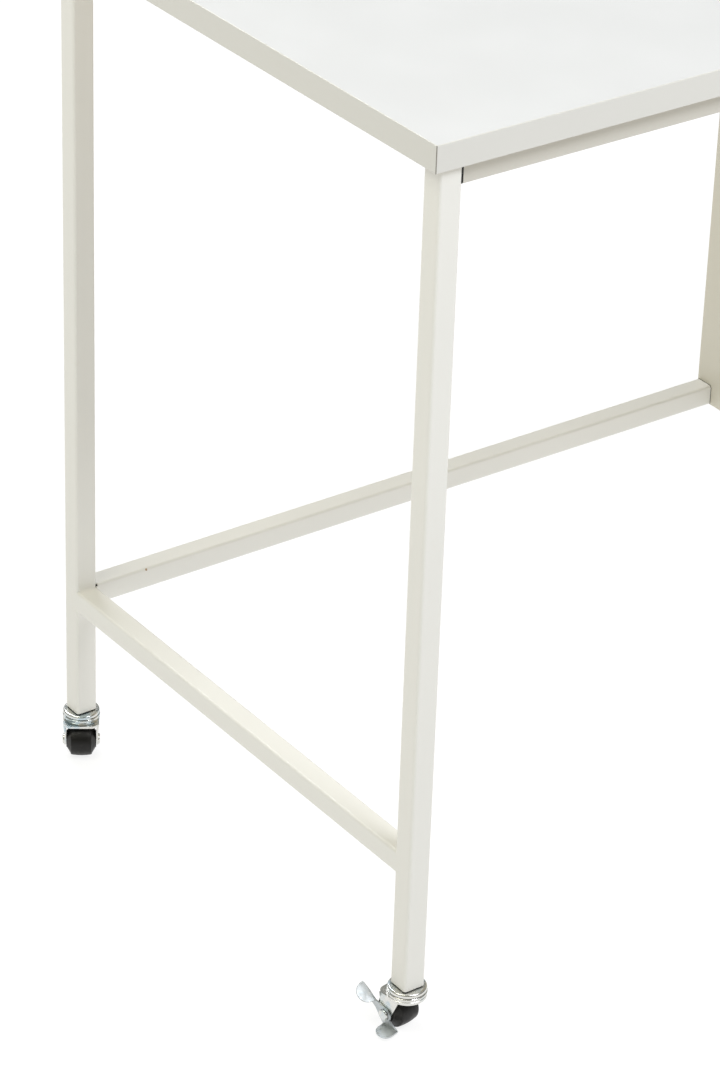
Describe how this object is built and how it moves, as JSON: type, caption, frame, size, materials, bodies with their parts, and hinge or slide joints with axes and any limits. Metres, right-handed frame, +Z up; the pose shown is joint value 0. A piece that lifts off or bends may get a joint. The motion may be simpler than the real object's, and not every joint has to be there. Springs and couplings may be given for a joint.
{
  "type": "sewing table on casters",
  "caption": "Sewing table with a white laminated top, white square-tube steel frame, a storage unit with drawers at the right, and swivel casters with brakes at the front.",
  "frame": {"origin": "on the floor under the middle of the table top", "axes": "+X to the right along the table's length seen from the sewer's seat, +Y to the rear, +Z up"},
  "size_m": [1.1245, 0.5232, 0.782],
  "materials": {
    "white_laminate": "smooth satin laminate on chipboard",
    "edge_band": "satin plastic edge band",
    "white_powder_coat": "semi-gloss powder coat, warm white",
    "white_melamine": "matt melamine on chipboard",
    "black_plastic": "moulded, fine grain",
    "white_nylon": "moulded",
    "zinc_fastener": "bright zinc plate",
    "zinc_pressing": "bright zinc-plated pressing",
    "satin_nickel": "satin nickel",
    "wheel_black": "moulded black, slightly scuffed tread"
  },
  "bodies": {
    "frame": {"cabinet_back": "white_melamine", "cabinet_bottom": "white_melamine", "cabinet_screws": "zinc_fastener", "cabinet_shelf": "white_melamine", "cabinet_side_left": "white_melamine", "cabinet_side_right": "white_melamine", "caster_balls": "zinc_pressing", "caster_caps": "zinc_pressing", "caster_sockets": "black_plastic", "caster_stems": "zinc_pressing", "drawer_runners": "white_nylon", "edge_band_front": "edge_band", "edge_band_left": "edge_band", "edge_band_rear": "edge_band", "edge_band_right": "edge_band", "front_rail_collars": "black_plastic", "front_rail_upper": "white_powder_coat", "leg_front_left": "white_powder_coat", "leg_front_right": "white_powder_coat", "leg_rear_left": "white_powder_coat", "leg_rear_right": "white_powder_coat", "leg_top_caps": "black_plastic", "rail_studs": "zinc_fastener", "rear_rail_lower": "white_powder_coat", "rear_rail_plugs": "black_plastic", "rear_rail_upper": "white_powder_coat", "runner_screws": "zinc_fastener", "side_frame_welds": "white_powder_coat", "side_rail_left": "white_powder_coat", "side_rail_right": "white_powder_coat", "table_top": "white_laminate", "top_screws": "zinc_fastener"},
    "upper_drawer": {"upper_drawer_back": "white_melamine", "upper_drawer_bottom": "white_melamine", "upper_drawer_front": "white_melamine", "upper_drawer_knob": "satin_nickel", "upper_drawer_screws": "zinc_fastener", "upper_drawer_side_left": "white_melamine", "upper_drawer_side_right": "white_melamine"},
    "lower_drawer": {"lower_drawer_back": "white_melamine", "lower_drawer_bottom": "white_melamine", "lower_drawer_front": "white_melamine", "lower_drawer_knob": "satin_nickel", "lower_drawer_screws": "zinc_fastener", "lower_drawer_side_left": "white_melamine", "lower_drawer_side_right": "white_melamine"},
    "swivel_front_left": {"fork_front_left": "zinc_pressing", "axle_front_left": "zinc_pressing"},
    "wheel_body_front_left": {"wheel_front_left": "wheel_black"},
    "brake_front_left": {"brake_lever_front_left": "zinc_pressing"},
    "swivel_rear_left": {"fork_rear_left": "zinc_pressing", "axle_rear_left": "zinc_pressing"},
    "wheel_body_rear_left": {"wheel_rear_left": "wheel_black"},
    "swivel_front_right": {"fork_front_right": "zinc_pressing", "axle_front_right": "zinc_pressing"},
    "wheel_body_front_right": {"wheel_front_right": "wheel_black"},
    "brake_front_right": {"brake_lever_front_right": "zinc_pressing"},
    "swivel_rear_right": {"fork_rear_right": "zinc_pressing", "axle_rear_right": "zinc_pressing"},
    "wheel_body_rear_right": {"wheel_rear_right": "wheel_black"}
  },
  "joints": [
    {"name": "upper_drawer_slide", "type": "slide", "parent": "frame", "child": "upper_drawer", "axis": [0, -1, 0], "range_m": [0, 0.3]},
    {"name": "lower_drawer_slide", "type": "slide", "parent": "frame", "child": "lower_drawer", "axis": [0, -1, 0], "range_m": [0, 0.3]},
    {"name": "swivel_front_left", "type": "hinge", "parent": "frame", "child": "swivel_front_left", "pos_m": [-0.537, -0.245, 0.038], "axis": [0, 0, 1], "continuous": true},
    {"name": "roll_front_left", "type": "hinge", "parent": "swivel_front_left", "child": "wheel_body_front_left", "pos_m": [-0.53833, -0.23661, 0.015], "axis": [0.9877, 0.1564, 0], "continuous": true},
    {"name": "brake_front_left", "type": "hinge", "parent": "swivel_front_left", "child": "brake_front_left", "pos_m": [-0.53833, -0.23661, 0.015], "axis": [-0.9877, -0.1564, 0], "range_deg": [0, 25]},
    {"name": "swivel_rear_left", "type": "hinge", "parent": "frame", "child": "swivel_rear_left", "pos_m": [-0.537, 0.245, 0.038], "axis": [0, 0, 1], "continuous": true},
    {"name": "roll_rear_left", "type": "hinge", "parent": "swivel_rear_left", "child": "wheel_body_rear_left", "pos_m": [-0.54163, 0.23787, 0.015], "axis": [-0.8387, 0.5446, 0], "continuous": true},
    {"name": "swivel_front_right", "type": "hinge", "parent": "frame", "child": "swivel_front_right", "pos_m": [0.537, -0.245, 0.038], "axis": [0, 0, 1], "continuous": true},
    {"name": "roll_front_right", "type": "hinge", "parent": "swivel_front_right", "child": "wheel_body_front_right", "pos_m": [0.53354, -0.23724, 0.015], "axis": [0.9135, 0.4067, 0], "continuous": true},
    {"name": "brake_front_right", "type": "hinge", "parent": "swivel_front_right", "child": "brake_front_right", "pos_m": [0.53354, -0.23724, 0.015], "axis": [-0.9135, -0.4067, 0], "range_deg": [0, 25]},
    {"name": "swivel_rear_right", "type": "hinge", "parent": "frame", "child": "swivel_rear_right", "pos_m": [0.537, 0.245, 0.038], "axis": [0, 0, 1], "continuous": true},
    {"name": "roll_rear_right", "type": "hinge", "parent": "swivel_rear_right", "child": "wheel_body_rear_right", "pos_m": [0.53934, 0.23683, 0.015], "axis": [-0.9613, -0.2756, 0], "continuous": true}
  ]
}
